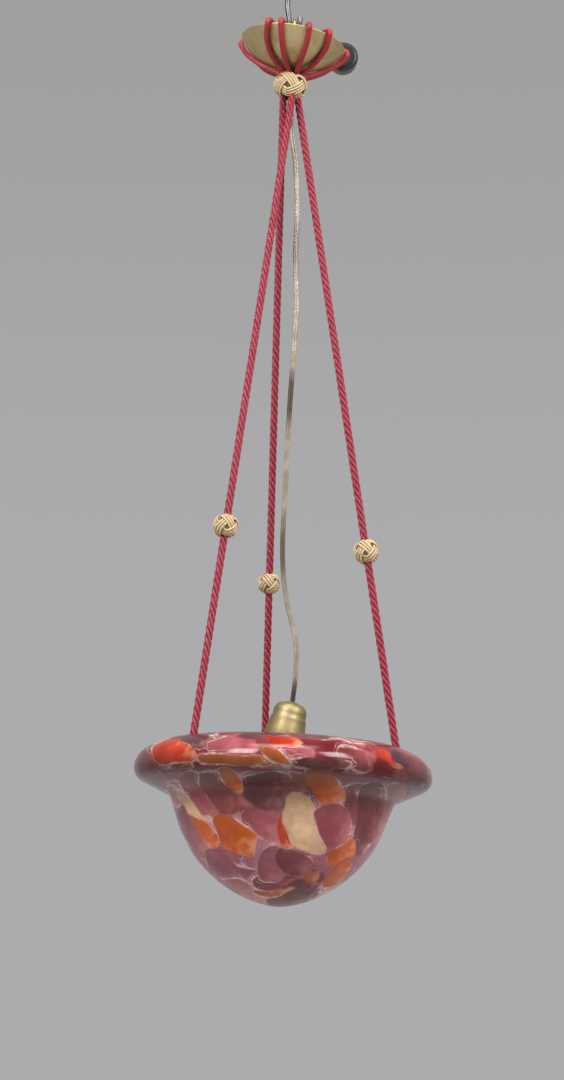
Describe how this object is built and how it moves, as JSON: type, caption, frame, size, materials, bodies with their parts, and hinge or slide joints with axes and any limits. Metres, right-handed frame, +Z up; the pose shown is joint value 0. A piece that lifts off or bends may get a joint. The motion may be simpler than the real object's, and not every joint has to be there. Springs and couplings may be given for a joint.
{
  "type": "glass bowl pendant light",
  "caption": "Pendant light: thick mottled glass bowl with a rolled lip, hung by red ropes with braided knots from a small brass canopy, with an inner lampholder on a flat flex",
  "frame": {"origin": "the seat inside the hook's upper bend, where the ceiling hook carries the light", "axes": "+Z up, +X to the right as seen from the front, the front towards -Y"},
  "size_m": [0.3375, 0.3378, 1.126],
  "materials": {
    "hook_steel": "bright zinc-plated steel wire",
    "ring_brass": "drawn brass wire",
    "binding_thread": "close-wound red thread",
    "sling_red": "smooth twisted red cord with a satin sheen",
    "canopy_brass": "satin spun brass with an olive tarnish",
    "bush_black": "moulded black insulating bush",
    "knot_cord": "straw-coloured cord, three passes side by side",
    "rope_red": "laid crimson silk rope",
    "washer_leather": "brown leather",
    "mottled_glass": "thick glossy glass, mauve with orange and cream patches",
    "flex_jacket": "clear flat twin flex with bronze cores",
    "holder_brass": "satin brass",
    "porcelain": "white glazed porcelain",
    "contact_brass": "bright brass",
    "cap_metal": "nickel-plated brass",
    "cap_insulator": "dark vitreous insulator",
    "solder": "dull solder",
    "clear_glass": "clear thin glass",
    "filament_wire": "tungsten wire",
    "plug_black": "moulded black bakelite",
    "plug_rubber": "black rubber",
    "pin_metal": "nickel-plated brass"
  },
  "bodies": {
    "hook": {"hook": "hook_steel"},
    "ring": {"hanging_ring": "ring_brass"},
    "lamp": {"sling_binding": "binding_thread", "sling_cord_1": "sling_red", "sling_cord_2": "sling_red", "sling_cord_3": "sling_red", "sling_cord_4": "sling_red", "sling_cord_5": "sling_red", "sling_cord_6": "sling_red", "sling_cord_7": "sling_red", "sling_cord_8": "sling_red", "sling_cord_9": "sling_red", "canopy_cup": "canopy_brass", "canopy_bush": "bush_black", "top_knot": "knot_cord", "rope_left": "rope_red", "rope_right": "rope_red", "rope_rear": "rope_red", "rope_washer_left": "washer_leather", "rope_washer_right": "washer_leather", "rope_washer_rear": "washer_leather", "stopper_knot_left": "rope_red", "stopper_knot_right": "rope_red", "stopper_knot_rear": "rope_red", "glass_bowl": "mottled_glass", "flex_tail": "flex_jacket", "plug_cover": "plug_black", "plug_base": "plug_black", "plug_relief": "plug_rubber", "plug_pins": "pin_metal", "plug_screw": "pin_metal"},
    "lead": {"flex_drop": "flex_jacket"},
    "holder": {"holder_cap": "holder_brass", "holder_skirt": "holder_brass", "holder_bush": "holder_brass", "holder_core": "porcelain", "liner_ring": "porcelain", "screw_shell": "contact_brass", "centre_contact": "contact_brass", "terminal_screws": "contact_brass"},
    "bulb": {"bulb_cap": "cap_metal", "bulb_insulator": "cap_insulator", "bulb_tip": "solder", "bulb_glass": "clear_glass", "bulb_stem": "clear_glass", "filament_arms": "filament_wire", "filament": "filament_wire"},
    "slip_left": {"slip_knot_left": "knot_cord"},
    "slip_right": {"slip_knot_right": "knot_cord"},
    "slip_rear": {"slip_knot_rear": "knot_cord"}
  },
  "joints": [
    {"name": "ring_swing", "type": "hinge", "parent": "hook", "child": "ring", "pos_m": [0, 0, -0.0745], "axis": [1, 0, 0], "range_deg": [-18, 18]},
    {"name": "lamp_swing", "type": "hinge", "parent": "ring", "child": "lamp", "pos_m": [0, 0, -0.08395], "axis": [0, 1, 0], "range_deg": [-15, 15]},
    {"name": "lead_sway", "type": "hinge", "parent": "lamp", "child": "lead", "pos_m": [-0.0045, 0.001, -0.16975], "axis": [0, 1, 0], "range_deg": [-3, 3]},
    {"name": "holder_rock", "type": "hinge", "parent": "lead", "child": "holder", "pos_m": [-0.0034, 0, -0.891], "axis": [1, 0, 0], "range_deg": [-10, 10]},
    {"name": "bulb_turn", "type": "hinge", "parent": "holder", "child": "bulb", "pos_m": [-0.0034, 0, -0.891], "axis": [-0.2351, 0, -0.972], "continuous": true},
    {"name": "slip_left_slide", "type": "slide", "parent": "lamp", "child": "slip_left", "axis": [0.1395, 0.1055, 0.9846], "range_m": [-0.17, 0.3]},
    {"name": "slip_right_slide", "type": "slide", "parent": "lamp", "child": "slip_right", "axis": [-0.1364, 0.0729, 0.988], "range_m": [-0.16, 0.3]},
    {"name": "slip_rear_slide", "type": "slide", "parent": "lamp", "child": "slip_rear", "axis": [0.0284, -0.1637, 0.9861], "range_m": [-0.15, 0.28]}
  ]
}
